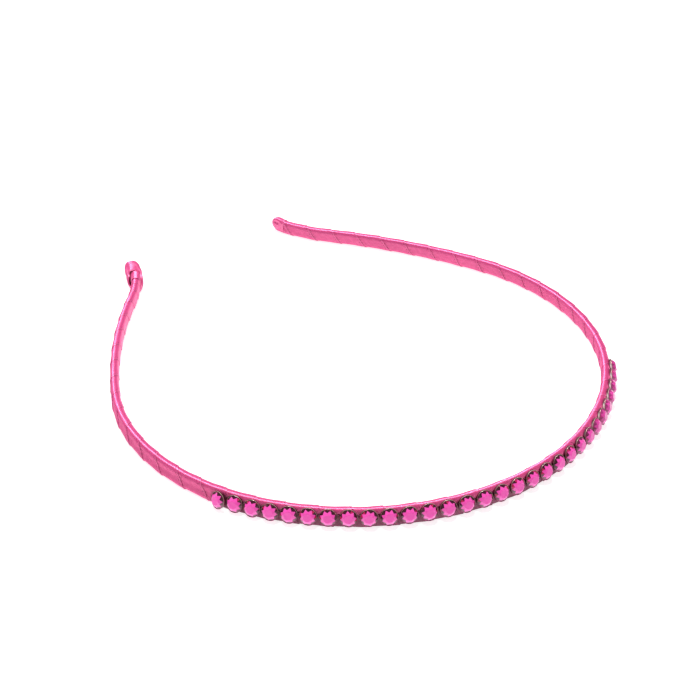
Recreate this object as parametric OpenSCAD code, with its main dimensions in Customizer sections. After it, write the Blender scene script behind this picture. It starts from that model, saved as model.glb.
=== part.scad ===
// Rhinestone headband, lying on its lower edge. Millimetres, +Z up.
// From above the band is a long U: the crown is at -Y, one arm runs back on each side,
// and the two tips at +Y flare outwards. A row of stones in metal cups is glued to the crown.
// Along the band, s is the distance from the middle of the crown. It grows towards +X.
// Across the band, out is the distance from the middle of its thickness, away from the head.

/* [Outline] */
// Radius of the crown, measured at the middle of the band's thickness
crown_r = 68; // [60:0.5:76]
// How far the crown turns on each side of its middle, in degrees
crown_turn = 48.5; // [44:0.5:52]
// Radius of the bend over each temple
temple_r = 61.5; // [58:0.5:65]
// How far each temple bend turns, in degrees
temple_turn = 66; // [62:0.5:70]
// Radius of each arm, which is nearly straight
arm_r = 156; // [140:1:170]
// How far each arm turns, in degrees
arm_turn = 17.7; // [15:0.1:20]
// Radius of the outward flare at each tip
tip_r = 45; // [40:1:50]
// How far each tip flares outwards, in degrees
tip_turn = 25.7; // [23:0.1:28]

/* [Wound band] */
// Height of the band, which is the width of the strip inside it
band_h = 4.25; // [4:0.05:4.6]
// Thickness of the band with the ribbon wound round it
band_t = 2.4; // [2.2:0.1:2.8]
// Radius of the band's four long edges
band_edge_r = 0.6; // [0.3:0.05:0.8]

/* [Tip caps] */
// Thickness of the folded ribbon over each tip
cap_wall = 0.4; // [0.35:0.05:0.5]
// Clearance between a tip cap and the band inside it
cap_gap = 0.05; // [0.03:0.01:0.08]
// Thickness of the loose hood on the left tip, measured outside
hood_t = 5; // [4.4:0.1:5.4]
// How far the middle of the hood lies outwards from the middle of the band
hood_out = 0.45; // [0:0.05:0.6]
// Length of the hood along its lower edge
hood_len_low = 12.5; // [11:0.5:14]
// Length of the hood along its upper edge
hood_len_top = 6; // [5:0.5:8]
// Radius of the hood's long edges
hood_edge_r = 1.2; // [0.8:0.1:1.3]
// Length of the snug cap on the right tip
snug_cap_len = 5; // [4:0.5:8]
// Radius of the snug cap's long edges
snug_edge_r = 0.75; // [0.5:0.05:0.8]

/* [Cup chain] */
// Number of stones in the row
stone_count = 30; // [20:1:34]
// Distance from one stone to the next, measured along the band
pitch = 4.7; // [4.68:0.01:5]
// Distance from the middle of the crown to the middle of the row
row_offset = -7.05; // [-9:0.05:0]
// How far the first stone is pushed towards the others; the next ones give way less and less
crowding = 1.19; // [0:0.01:1.2]
// Height of the stones' centres over the surface
row_z = 2.95; // [2.6:0.05:3.2]
// Diameter of a cup at its rim
cup_rim_d = 4.5; // [4.48:0.01:4.52]
// Diameter of a cup at its back
cup_back_d = 4.3; // [4:0.05:4.4]
// Depth of a cup from its back to its rim
cup_depth = 0.75; // [0.6:0.05:1.2]
// Thickness of the cup's sheet metal
cup_wall = 0.12; // [0.1:0.01:0.13]
// Width of the link between two cups
link_w = 0.9; // [0.6:0.1:1.2]
// How far the first cup is turned aside, in degrees
first_cup_turn = -6; // [-8:1:0]

/* [Stones] */
// Diameter of a stone at its girdle
stone_d = 4.2; // [4:0.05:4.2]
// Diameter of the flat table on top of a stone
table_d = 2.3; // [1.8:0.1:2.6]
// Height of the facets from the girdle to the table
facet_h = 1.05; // [0.8:0.05:1.3]
// Number of points in the star of facets around the table
star_points = 8; // [6:1:10]
// How far each stone is turned in its cup at most, in degrees
stone_spin = 9; // [0:1:20]

/* [Hidden] */
$fn = 48;
// Steps in a full circle, for the long arcs and for the nose of a cap
ARC_STEPS = 180;
NOSE_STEPS = 64;

// Seat of the metal and the stones: small gaps that glue fills
seat_gap = 0.03;

// One row for each arc of a half outline: signed radius, turn in degrees.
// A negative radius bends away from the head.
ARC_RADIUS = 0;
ARC_TURN = 1;
arcs = [
    [crown_r, crown_turn],
    [temple_r, temple_turn],
    [arm_r, arm_turn],
    [-tip_r, tip_turn]
];
CROWN = 0;
TIP = 3;

function radius(i) = arcs[i][ARC_RADIUS];
function arc_len(i) = abs(radius(i)) * arcs[i][ARC_TURN] * PI / 180;
// Heading in degrees and position where arc i starts; the crown starts at its middle, heading to +X
function heading(i) = i == 0 ? 0 : heading(i - 1) + sign(radius(i - 1)) * arcs[i - 1][ARC_TURN];
function centre(i) = start(i) + radius(i) * [-sin(heading(i)), cos(heading(i))];
function start(i) = i == 0 ? [0, 0] : on_arc(i - 1, arc_len(i - 1));
function heading_on(i, run) = heading(i) + run / radius(i) * 180 / PI;
function on_arc(i, run) =
    let (h = heading_on(i, run)) centre(i) + radius(i) * [sin(h), -cos(h)];

// Arc number and distance along that arc for a distance s from the middle of the crown
function arc_at(s, i = 0) = i == TIP || s <= arc_len(i) ? [i, s] : arc_at(s - arc_len(i), i + 1);
// x, y and heading at s, on either side of the crown
function spot(s) =
    let (a = arc_at(abs(s)), p = on_arc(a[0], a[1]), h = heading_on(a[0], a[1]))
    s < 0 ? [-p.x, p.y, -h] : [p.x, p.y, h];
function half_len(i = 0) = i > TIP ? 0 : arc_len(i) + half_len(i + 1);
band_half = half_len();

// The caps stand a little higher than the band; all of them rest at z = 0
cap_h = band_h + cap_wall;
tongue_t = band_t - 2 * cap_gap;
tongue_z = cap_wall + cap_gap;
snug_cap_t = band_t + 2 * cap_wall;
// How far each pocket stops short of its cap's outer end
pocket_margin = 0.4;
hood_stop = hood_t / 2 + pocket_margin;
snug_stop = snug_cap_t / 2 + pocket_margin;

// Laps over the joints between arcs. Their edges are sharper than the band's, so that each lap
// covers the whole section and still rests flat. They rise less than the seat's gap.
lap_len = 1.2;
lap_rise = 0.02;
lap_edge_r = band_edge_r * 2 / 3;

// The stones' seat, from the band's outer face outwards
cup_out = band_t / 2 + seat_gap;
stone_out = cup_out + cup_wall + seat_gap;
girdle_out = cup_out + cup_depth;
table_out = girdle_out + facet_h;

// Front and back of the whole thing, to bring its middle to the origin
function nose_y(t, out) =
    let (p = spot(band_half - t / 2)) p.y - out * cos(p[2]) + t / 2;
front_y = max(nose_y(hood_t, hood_out), nose_y(snug_cap_t, 0));
back_y = -table_out;
mid_y = (front_y + back_y) / 2;

// Degrees from the turn of one stone in its cup to that of the next, so that no order shows
SPIN_STEP = 137;
// Radius of the kites' side corners, as a share of the table's and the girdle's radii together
KITE_SHARE = 0.52;

// The first stones of the row are crowded together: number of them, and how their push fades
CROWDED = 6;
CROWD_FADE = 1.5;

function pushed(i) = crowding * pow(max(0, CROWDED + 1 - i) / CROWDED, CROWD_FADE);
function stone_s(i) = (i - 1 - (stone_count - 1) / 2) * pitch + row_offset + pushed(i);
function stone_name(i) = str("stone_", i < 10 ? "0" : "", i);

ribbon_colour = [0.93, 0.29, 0.58];
fold_colour = [0.98, 0.42, 0.68];
metal_colour = [0.80, 0.77, 0.70];
stone_colour = [0.94, 0.36, 0.72];

// Moves the outline's own place, with the crown at y = 0, to the middle of the part
module placed() {
    translate([0, -mid_y, 0]) children();
}

// Rounded rectangle: t thick about x = mid, from z = low to z = high
module section(t, low, high, r, mid = 0) {
    h = high - low;
    translate([mid - t / 2, low]) {
        translate([r, 0]) square([t - 2 * r, h]);
        translate([0, r]) square([t, h - 2 * r]);
        for (x = [r, t - r], z = [r, h - r]) translate([x, z]) circle(r);
    }
}

// Steps from the frame of arc k to the frame of arc i. In its own frame an arc is centred on
// the origin and starts on the X axis, heading to +Y.
module step_to(i, k = 0) {
    if (k == i)
        children();
    else
        rotate([0, 0, arcs[k][ARC_TURN]])
            translate([radius(k) - radius(k + 1), 0, 0])
            step_to(i, k + 1) children();
}

// The +X half of the outline: its children are drawn in the frame of arc i
module on_half(i) {
    placed() translate([0, crown_r, 0]) rotate([0, 0, -90]) step_to(i) children();
}

module both_halves(i) {
    on_half(i) children();
    mirror([1, 0, 0]) on_half(i) children();
}

// Sweeps a section, whose x is out, along an arc of radius r from its start; r is negative
// where the arc bends away from the head
module sweep(r, turn) {
    inward = r > 0 ? 0 : 1;
    mirror([inward, 0, 0])
        rotate_extrude(angle = turn, $fn = ARC_STEPS)
        translate([abs(r), 0])
        mirror([inward, 0])
        children();
}

// The same, for a stretch of the tip's arc that ends at a plane across it, at Y = 0
module sweep_back(turn) {
    mirror([0, 1, 0]) sweep(radius(TIP), turn) children();
}

// Turns the tip's frame on, so that the point at a distance from the end lies on its X axis
module at_tip(from_end) {
    rotate([0, 0, -tip_degrees(arc_len(TIP) - from_end)]) children();
}

function tip_degrees(run) = run / tip_r * 180 / PI;

module band_section() {
    section(band_t, 0, band_h, band_edge_r);
}

// Inside a cap the band goes on as a slimmer tongue with a raised lower edge, because the
// folded ribbon passes under it
module tongue_section() {
    section(tongue_t, tongue_z, band_h - cap_gap, band_edge_r);
}

// A lap of the ribbon, laid square over the place where two arcs meet
module lap() {
    rotate([90, 0, 0])
        linear_extrude(lap_len, center = true)
        section(band_t + 2 * lap_rise, 0, band_h + lap_rise, lap_edge_r);
}

// The end of the band on one side: the wound part stops at the cap, the tongue goes into it
module band_tip(cap_len, tongue_stop) {
    tip_len = arc_len(TIP);
    on_half(TIP) {
        sweep(radius(TIP), tip_degrees(tip_len - cap_len - cap_gap)) band_section();
        sweep(radius(TIP), tip_degrees(tip_len - tongue_stop - cap_gap)) tongue_section();
    }
}

module wrapped_band() {
    color(ribbon_colour) {
        for (i = [CROWN : TIP - 1]) both_halves(i) {
            sweep(radius(i), arcs[i][ARC_TURN]) band_section();
            rotate([0, 0, arcs[i][ARC_TURN]]) translate([radius(i), 0, 0]) lap();
        }
        band_tip(snug_cap_len, snug_stop);
        mirror([1, 0, 0]) band_tip(hood_len_low, hood_stop);
    }
}

// A cap: swept back from its nose along the tip, with a pocket for the tongue.
// The frame is the nose's own, and out is the cap's own distance from the band's middle.
module cap(t, r, out, length, pocket_t, stop) {
    nose_in = t / 2;
    on_half(TIP) at_tip(nose_in) {
        difference() {
            union() {
                sweep_back(tip_degrees(length - nose_in)) section(t, 0, cap_h, r, out);
                translate([out - tip_r, 0, 0])
                    rotate_extrude(angle = 180, $fn = NOSE_STEPS)
                    nose_section(t / 2, r);
            }
            rotate([0, 0, tip_degrees(stop - nose_in)])
                sweep_back(tip_degrees(length))
                section(pocket_t, cap_wall, cap_h - cap_wall, band_edge_r, out);
        }
    }
}

// Half of a cap's section, to be turned about the upright axis through its nose
module nose_section(half_t, r) {
    square([half_t - r, cap_h]);
    translate([0, r]) square([half_t, cap_h - 2 * r]);
    for (z = [r, cap_h - r]) translate([half_t - r, z]) circle(r);
}

// Takes away the upper corner of the hood, so that its mouth slants from the top to the bottom.
// The block that cuts reaches well past the hood on each side.
module mouth_cut() {
    slant = atan2(hood_len_low - hood_len_top, cap_h - cap_wall);
    reach = 3 * hood_t;
    on_half(TIP) at_tip(hood_len_low)
        translate([-tip_r, 0, cap_wall])
        rotate([-slant, 0, 0])
        translate([-reach, -reach, 0])
        cube([2 * reach, reach, 2 * reach]);
}

module left_tip_hood() {
    color(fold_colour) mirror([1, 0, 0]) difference() {
        cap(hood_t, hood_edge_r, hood_out, hood_len_low, hood_t - 2 * cap_wall, hood_stop);
        mouth_cut();
    }
}

module right_tip_cap() {
    color(fold_colour)
        cap(snug_cap_t, snug_edge_r, 0, snug_cap_len, tongue_t + 2 * cap_gap, snug_stop);
}

// Turns a piece that is drawn along +Z so that it stands out from the band at s
module outwards(s, out, turned = 0) {
    p = spot(s);
    translate([p.x, p.y, row_z])
        rotate([90, 0, p[2] + turned])
        translate([0, 0, out])
        children();
}

// Only the first cup is glued askew; one edge of its back then stands off the band
function cup_turn(i) = i == 1 ? first_cup_turn : 0;
function cup_lift(i) = cup_back_d / 2 * sin(abs(cup_turn(i)));

// One pressed cup: a flat back and a flared wall
module cup() {
    back_r = cup_back_d / 2;
    rim_r = cup_rim_d / 2;
    rotate_extrude()
        polygon([
            [0, 0],
            [back_r, 0],
            [rim_r, cup_depth],
            [rim_r - cup_wall, cup_depth],
            [back_r - cup_wall, cup_wall],
            [0, cup_wall]
        ]);
}

// The flat bar that holds cup i and the next one together
module link(i) {
    apart = (stone_s(i + 1) - stone_s(i)) * (crown_r + cup_out) / crown_r;
    gap = apart - cup_back_d - 2 * seat_gap;
    outwards((stone_s(i) + stone_s(i + 1)) / 2, cup_out)
        translate([-gap / 2, -link_w / 2, 0])
        cube([gap, link_w, cup_wall]);
}

module cup_chain() {
    color(metal_colour) placed() {
        for (i = [1:stone_count])
            outwards(stone_s(i), cup_out + cup_lift(i), cup_turn(i)) cup();
        for (i = [1:stone_count - 1]) link(i);
    }
}

// A cut stone with a flat back, a star of kite facets round its table, and a sharp girdle
function ring(count, r, z, turned = 0) =
    [for (k = [0:count - 1]) [r * cos(turned + 360 * k / count), r * sin(turned + 360 * k / count), z]];

module cut_stone() {
    n = star_points;
    half_step = 180 / n;
    girdle_r = stone_d / 2;
    table_r = table_d / 2;
    girdle_z = girdle_out - stone_out;
    table_z = girdle_z + facet_h;
    back_r = cup_back_d / 2 - cup_wall - seat_gap;
    // A kite runs from a table corner to the girdle; its side corners lie in the same plane
    side_r = KITE_SHARE * (table_r + girdle_r);
    side_z = table_z - facet_h * (side_r * cos(half_step) - table_r) / (girdle_r - table_r);
    points = concat(
        ring(n, table_r, table_z),
        ring(n, side_r, side_z, half_step),
        ring(2 * n, girdle_r, girdle_z),
        ring(2 * n, back_r, 0)
    );
    table = 0;
    side = n;
    girdle = 2 * n;
    back = 4 * n;
    faces = concat(
        [[for (k = [n - 1:-1:0]) table + k]],
        [for (k = [0:n - 1]) [table + k, table + (k + 1) % n, side + k]],
        [for (k = [0:n - 1]) [table + k, side + k, girdle + 2 * k]],
        [for (k = [0:n - 1]) [table + k, girdle + 2 * k, side + (k + n - 1) % n]],
        [for (k = [0:n - 1]) [side + k, girdle + 2 * k + 1, girdle + 2 * k]],
        [for (k = [0:n - 1]) [side + k, girdle + (2 * k + 2) % (2 * n), girdle + 2 * k + 1]],
        [for (k = [0:2 * n - 1])
            [girdle + k, girdle + (k + 1) % (2 * n), back + (k + 1) % (2 * n), back + k]],
        [[for (k = [0:2 * n - 1]) back + k]]
    );
    polyhedron(points, faces);
}

// Each stone sits in its cup with a small turn of its own
module stone(i) {
    spin = stone_spin * sin(SPIN_STEP * i);
    color(stone_colour) placed()
        outwards(stone_s(i), stone_out + cup_lift(i), cup_turn(i))
        rotate([0, 0, 90 + spin])
        cut_stone();
}

wrapped_band();
left_tip_hood();
right_tip_cap();
cup_chain();
for (i = [1:stone_count]) stone(i);
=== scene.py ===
# %% [markdown]
# # A rhinestone headband, lying on its edge
# The real thing is a narrow springy strip bent into a long U. Satin ribbon is wound round it
# from end to end, a fold of the same ribbon covers each tip, and a row of thirty cut stones in
# thin metal cups is glued to the outer face of the crown.
#
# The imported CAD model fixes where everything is. This script builds what the eye sees, in the
# same places. A headband is easier to think about in millimetres, so every shape is worked out
# in them and becomes metres, which Blender wants, where its mesh is made.

import math
import random

import bmesh
import bpy
import numpy as np
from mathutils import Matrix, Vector


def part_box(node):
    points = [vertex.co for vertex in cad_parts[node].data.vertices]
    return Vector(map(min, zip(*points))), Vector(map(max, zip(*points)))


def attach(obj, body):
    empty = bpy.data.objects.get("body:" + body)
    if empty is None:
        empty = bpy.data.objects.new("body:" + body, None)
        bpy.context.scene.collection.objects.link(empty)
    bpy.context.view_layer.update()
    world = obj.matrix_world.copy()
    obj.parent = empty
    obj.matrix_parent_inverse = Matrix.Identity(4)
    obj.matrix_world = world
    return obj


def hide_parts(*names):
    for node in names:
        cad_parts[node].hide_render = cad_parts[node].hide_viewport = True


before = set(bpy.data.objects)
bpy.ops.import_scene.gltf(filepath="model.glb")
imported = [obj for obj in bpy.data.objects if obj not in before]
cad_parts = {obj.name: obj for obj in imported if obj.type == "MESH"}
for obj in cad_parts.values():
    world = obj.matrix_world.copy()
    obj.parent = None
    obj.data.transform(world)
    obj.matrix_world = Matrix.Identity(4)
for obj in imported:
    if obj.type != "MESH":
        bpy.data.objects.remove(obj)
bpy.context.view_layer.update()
MM = 0.001

# %% [markdown]
# ## Camera
# The camera was fitted to the photograph together with the headband's outline, so its place is
# measured, not styled: about 46 cm away, 32.5 degrees above the table, turned 35 degrees to the
# left of the crown. A long lens keeps the far tips nearly as large as the near stones.

# %% Camera
def add_object(name, data, at=(0.0, 0.0, 0.0), looks_at=None):
    """Puts an object into the scene, in metres, and turns a camera or a light to a point."""
    item = bpy.data.objects.new(name, data)
    item.location = at
    if looks_at is not None:
        item.rotation_euler = (Vector(looks_at) - Vector(at)).to_track_quat("-Z", "Y").to_euler()
    bpy.context.collection.objects.link(item)
    return item


camera_spot, looked_at = Vector((-0.21689, -0.31507, 0.24693)), Vector((0.00415, 0.00317, 0.0))
lens = bpy.data.cameras.new("photo_view")
lens.lens, lens.sensor_width, lens.clip_start = 85.7, 36.0, 0.01
camera = add_object("photo_view", lens, camera_spot, looked_at)
bpy.context.scene.camera = camera
print("camera is", round((looked_at - camera_spot).length / MM), "mm away")

# %% [markdown]
# ## A helper for shader nodes
# This helper adds a node, sets its plain values and joins whatever is a socket, so that a
# material reads like a recipe.

# %% Node helper
class Wiring:
    """Adds and joins nodes in one node tree."""

    def __init__(self, tree):
        self.tree = tree

    def add(self, kind, values=None, **settings):
        node = self.tree.nodes.new(kind)
        for name, value in settings.items():
            setattr(node, name, value)
        self.feed_all(values or {}, node.inputs)
        return node

    def feed(self, value, socket):
        if isinstance(value, bpy.types.NodeSocket):
            self.tree.links.new(value, socket)
        else:
            socket.default_value = value

    def feed_all(self, values, sockets):
        for name, value in values.items():
            self.feed(value, sockets[name])

    def math(self, operation, *values):
        return self.add("ShaderNodeMath", dict(enumerate(values)), operation=operation).outputs[0]

    def blend(self, share, first, second, how="MIX"):
        values = {"Factor": share, 6: first, 7: second}
        return self.add("ShaderNodeMix", values, data_type="RGBA", blend_type=how).outputs[2]

    def soft_step(self, value, start, end):
        values = dict(enumerate((value, start, end, 0.0, 1.0)))
        return self.add("ShaderNodeMapRange", values, interpolation_type="SMOOTHSTEP").outputs[0]

    def times(self, first, *others):
        for other in others:
            first = self.math("MULTIPLY", first, other)
        return first

    def shaded(self, colour, factor):
        """A colour made lighter or darker by a number around 1."""
        grey = self.add("ShaderNodeCombineColor", {"Red": factor, "Green": factor, "Blue": factor})
        return self.blend(1.0, colour, grey.outputs[0], how="MULTIPLY")

    def mask(self, name):
        """What the mesh says at this place, such as how much glue it has."""
        node = self.add("ShaderNodeAttribute", attribute_type="GEOMETRY", attribute_name=name)
        return node.outputs["Fac"]

    def group(self, tree, values):
        return self.add("ShaderNodeGroup", values, node_tree=tree).outputs


def new_group(name, inputs, outputs):
    """A shader node group. inputs maps names to default values, outputs is a list of names."""
    tree = bpy.data.node_groups.new(name, "ShaderNodeTree")
    for label, value in inputs.items():
        kind = "NodeSocketVector" if isinstance(value, tuple) else "NodeSocketFloat"
        socket = tree.interface.new_socket(name=label, in_out="INPUT", socket_type=kind)
        socket.default_value = value
    for label in outputs:
        tree.interface.new_socket(name=label, in_out="OUTPUT", socket_type="NodeSocketFloat")
    wiring = Wiring(tree)
    return tree, wiring, wiring.add("NodeGroupInput").outputs, wiring.add("NodeGroupOutput").inputs


def new_material(name):
    material = bpy.data.materials.new(name)
    material.use_nodes = True
    material.node_tree.nodes.clear()
    wiring = Wiring(material.node_tree)
    shader = wiring.add("ShaderNodeBsdfPrincipled")
    output = wiring.add("ShaderNodeOutputMaterial")
    wiring.feed(shader.outputs[0], output.inputs["Surface"])
    return material, wiring, shader.inputs


# %% [markdown]
# ## Effects as node groups
# Three effects come back in more than one finish, so each is a node group with named inputs.
# The fourth, edge wear, serves the cups only, but it would suit any finish.
# - *slow variation*: no dyed, pressed or cut thing is one even colour. A soft noise around 1
#   multiplies a colour or a roughness.
# - *satin threads*: each lengthwise thread floats over several crosswise ones and dips under
#   one, which makes fine ribs with small staggered dimples.
# - *stitch dots*: along its edge a ribbon has a row of tiny holes from the loom.
# - *edge wear*: raised edges are rubbed lighter. Pointiness finds them.

# %% Group: slow variation
variation_group, w, given, out = new_group(
    "slow variation", {"Place": (0.0, 0.0, 0.0), "Size": 1.0, "Amount": 0.1}, ["Factor"])
noise = w.add("ShaderNodeTexNoise",
              {"Vector": given["Place"], "Scale": given["Size"], "Detail": 3.0})
centred = w.math("MULTIPLY_ADD", noise.outputs["Fac"], 2.0, -1.0)
w.feed(w.math("MULTIPLY_ADD", centred, given["Amount"], 1.0), out["Factor"])


def varied(w, place, size, amount):
    return w.group(variation_group, {"Place": place, "Size": size, "Amount": amount})["Factor"]


# %% Group: satin threads
threads_group, w, given, out = new_group(
    "satin threads", {"Along": 0.0, "Across": 0.0, "Thread": 0.12, "Float": 0.7},
    ["Height", "Shade"])
thread_no = w.math("DIVIDE", given["Across"], given["Thread"])
rib = w.math("ABSOLUTE", w.math("SINE", w.times(thread_no, math.pi)))
stagger = w.times(w.math("FLOOR", thread_no), 0.4)
run = w.math("ADD", w.math("DIVIDE", given["Along"], given["Float"]), stagger)
from_dip = w.math("ABSOLUTE", w.math("SUBTRACT", w.math("FRACT", run), 0.5))
float_height = w.soft_step(from_dip, 0.0, 0.18)
height = w.times(rib, w.math("MULTIPLY_ADD", float_height, 0.45, 0.55))
w.feed(height, out["Height"])
# painted shade: the colour is darker where the threads dip
w.feed(w.math("MULTIPLY_ADD", height, 0.3, 0.8), out["Shade"])

# %% Group: stitch dots
dots_group, w, given, out = new_group(
    "stitch dots", {"Along": 0.0, "Across": 0.0, "Row": 0.7, "Spacing": 0.8, "Radius": 0.16},
    ["Mask"])
cell = w.math("SUBTRACT", w.math("FRACT", w.math("DIVIDE", given["Along"], given["Spacing"])), 0.5)
off_along = w.times(cell, given["Spacing"])
off_across = w.math("SUBTRACT", given["Across"], given["Row"])
square = w.math("ADD", w.times(off_along, off_along), w.times(off_across, off_across))
inner = w.times(given["Radius"], 0.35)
outside = w.soft_step(w.math("SQRT", square), inner, given["Radius"])
w.feed(w.math("SUBTRACT", 1.0, outside), out["Mask"])

# %% Group: edge wear
wear_group, w, given, out = new_group("edge wear", {"From": 0.52, "To": 0.62}, ["Mask"])
pointiness = w.add("ShaderNodeNewGeometry").outputs["Pointiness"]
w.feed(w.soft_step(pointiness, given["From"], given["To"]), out["Mask"])
print("node groups:", [g.name for g in bpy.data.node_groups])

# %% [markdown]
# ## Satin ribbon
# Hot pink satin, wound tight. Its threads run round the band, so the ribs cross the band and
# break the long highlight on the top edge into fine dashes. Each mesh carries a UV map in
# millimetres, u along the ribbon and v across it from the edge that lies on top, so threads,
# dots and the edge's ridge come where the ribbon has them. The highlight of dyed satin is
# cooler than its body colour, which the specular tint gives. Satin is half cloth and half
# mirror: the shader is part metal, and its gloss is stretched across the threads, so that one
# soft light draws one long line.

# %% Satin ribbon materials
BODY_PINK = (0.94, 0.074, 0.31, 1.0)
DEEP_PINK = (0.38, 0.011, 0.075, 1.0)
# painted highlight on the raised edge of each turn
RIDGE_HIGHLIGHT_PINK = (0.98, 0.20, 0.46, 1.0)
# painted shade on the ribbon under the cups
CUP_SHADE_PINK = (0.15, 0.010, 0.042, 1.0)

# All in millimetres on the ribbon
TURN = 7.768  # how far the ribbon moves along the band in one turn
FINE_THREADS = {"Thread": 0.12, "Float": 0.75}
COARSE_RIBS = {"Thread": 0.78, "Float": 3.1}
HOLES = {"Spacing": 0.82, "Radius": 0.21}
RIDGE_HIGHLIGHT_FADE = (0.08, 0.62)  # how far in from the edge it fades out
# painted shade along the foot of each seam, on both sides of it
SEAM_SHADE_BELOW, SEAM_SHADE_ABOVE = (TURN - 0.26, TURN - 0.06), (0.02, 0.10)  # both sides of a seam's foot
BUMP_DEPTH, HOLE_DEPTH = 0.03, 0.8  # the second is in parts of the first


def satin_material(name, dots, metallic, bump_strength, seam=False):
    material, w, shader = new_material(name)
    uv = w.add("ShaderNodeUVMap", uv_map="ribbon").outputs["UV"]
    place = w.add("ShaderNodeSeparateXYZ", {"Vector": uv}).outputs
    along, across = place["X"], place["Y"]
    position = w.add("ShaderNodeTexCoord").outputs["Object"]

    threads = w.group(threads_group, {"Along": along, "Across": across, **FINE_THREADS})
    uneven = varied(w, uv, size=0.45, amount=0.35)
    ribs = w.group(threads_group, {"Along": along, "Across": w.math("ADD", across, uneven),
                                   **COARSE_RIBS})
    patches = varied(w, position, size=110.0, amount=0.10)
    streaks = varied(w, uv, size=1.6, amount=0.06)

    # painted highlight: the raised edge that lies on top is painted paler
    ridge_highlight = w.math("SUBTRACT", 1.0, w.soft_step(across, *RIDGE_HIGHLIGHT_FADE))
    colour = w.blend(w.times(ridge_highlight, 0.35), BODY_PINK, RIDGE_HIGHLIGHT_PINK)
    shown = w.times(w.math("SUBTRACT", 1.0, w.mask("plain_seam")), uneven)
    if seam:
        # painted shade in the groove at each seam's foot, broken into dots
        seam_shade = w.math("MAXIMUM", w.soft_step(across, *SEAM_SHADE_BELOW),
                      w.math("SUBTRACT", 1.0, w.soft_step(across, *SEAM_SHADE_ABOVE)))
        wave = w.math("SINE", w.times(along, math.pi / HOLES["Spacing"]))
        beads = w.math("POWER", w.math("ABSOLUTE", wave), 3.0)
        seam_shade = w.times(seam_shade, w.math("MULTIPLY_ADD", beads, 0.5, 0.08), shown)
        colour = w.blend(seam_shade, colour, DEEP_PINK)
    # painted shade between the coarse ribs
    rib_shade = w.times(w.math("SUBTRACT", 1.1, ribs["Shade"]), 0.45)
    colour = w.blend(rib_shade, colour, DEEP_PINK)
    # painted shade under the cups
    colour = w.blend(w.times(w.mask("glue"), 0.9), colour, CUP_SHADE_PINK)
    colour = w.shaded(colour, w.times(patches, streaks, threads["Shade"]))

    height = w.math("ADD", w.times(threads["Height"], 0.4), w.times(ribs["Height"], 1.5))
    for row, strength in dots:
        hole = w.group(dots_group, {"Along": along, "Across": across, "Row": row, **HOLES})["Mask"]
        colour = w.blend(w.times(hole, strength, shown), colour, DEEP_PINK)
        height = w.math("SUBTRACT", height, w.times(hole, HOLE_DEPTH * strength))

    w.feed(colour, shader["Base Color"])
    rough = w.math("MULTIPLY_ADD", threads["Height"], -0.06, 0.55)
    glints = varied(w, uv, size=1.1, amount=0.42)
    w.feed(w.times(rough, glints), shader["Roughness"])
    bump = w.add("ShaderNodeBump", {"Strength": bump_strength, "Distance": BUMP_DEPTH * MM,
                                    "Height": height})
    w.feed(bump.outputs["Normal"], shader["Normal"])
    tangent = w.add("ShaderNodeTangent", direction_type="UV_MAP", uv_map="ribbon").outputs[0]
    w.feed(tangent, shader["Tangent"])
    w.feed_all({"Anisotropic": 1.0, "Anisotropic Rotation": 0.25, "Metallic": metallic,
                "IOR": 2.1, "Specular IOR Level": 0.8, "Specular Tint": (0.98, 0.90, 1.0, 1.0),
                "Sheen Weight": 0.06, "Sheen Roughness": 0.35,
                "Sheen Tint": (1.0, 0.55, 0.85, 1.0)}, shader)
    return material


wound_satin = satin_material("wound_satin", dots=((0.74, 1.0), (7.25, 0.5)), metallic=0.40,
                             bump_strength=0.5, seam=True)
folded_satin = satin_material("folded_satin", dots=((0.80, 0.6),), metallic=0.28,
                              bump_strength=0.4)
print("satins:", wound_satin.name, folded_satin.name)

# %% [markdown]
# ## Cup metal
# The cups are stamped from thin brass sheet with a pale silver plating, a little yellowed.
# The colour paints light and shade over it. Its base is a dark maroon, a painted shade and
# painted pink reflection, which is how the cups look down in the gaps between them. The rims are
# brightest: their sharp edges, where the stones were pressed in, are rubbed lighter, and a
# painted highlight lies on the upper right of each crest. Near the right end the walls turn
# towards the light and carry a painted glare, nearly white. The lowest part of every rim carries
# a painted pink reflection of the pink that the stones throw on the table.

# %% Cup metal material
# a dark maroon base of painted shade and pink reflection, and rims of wear with painted highlight
PLATING_IN_PAINTED_SHADE, WORN_AND_HIGHLIT_PLATING = (0.17, 0.052, 0.075, 1.0), (0.80, 0.58, 0.49, 1.0)
GLARE_WHITE, RIM_PINK_REFLECTION = (1.0, 0.95, 0.88, 1.0), (0.95, 0.10, 0.42, 1.0)

cup_metal, w, shader = new_material("cup_metal")
position = w.add("ShaderNodeTexCoord").outputs["Object"]
rubbed = w.group(wear_group, {"From": 0.50, "To": 0.62})["Mask"]
# rubbed edges and a painted highlight on the upper right of the rim's crest
wear_and_highlight = w.times(w.mask("crest_highlight"), w.math("MULTIPLY_ADD", rubbed, 0.5, 0.5))
tarnish = varied(w, position, size=420.0, amount=0.22)
# painted glare on the walls near the right end
wall_glare = w.mask("wall_glare_mask")
plated = w.blend(wear_and_highlight, PLATING_IN_PAINTED_SHADE, WORN_AND_HIGHLIT_PLATING)
plated = w.blend(wall_glare, plated, GLARE_WHITE)
# painted pink reflection on the lowest part of every rim
plated = w.blend(w.mask("rim_reflection"), plated, RIM_PINK_REFLECTION)
w.feed(w.shaded(plated, tarnish), shader["Base Color"])
w.feed(w.math("MULTIPLY_ADD", wear_and_highlight, -0.04, 0.38), shader["Roughness"])
grain = w.add("ShaderNodeTexNoise", {"Vector": position, "Scale": 2600.0, "Detail": 2.0})
bump = w.add("ShaderNodeBump", {"Strength": 0.25, "Distance": 0.01 * MM,
                                "Height": grain.outputs["Fac"]})
w.feed(bump.outputs["Normal"], shader["Normal"])
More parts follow.
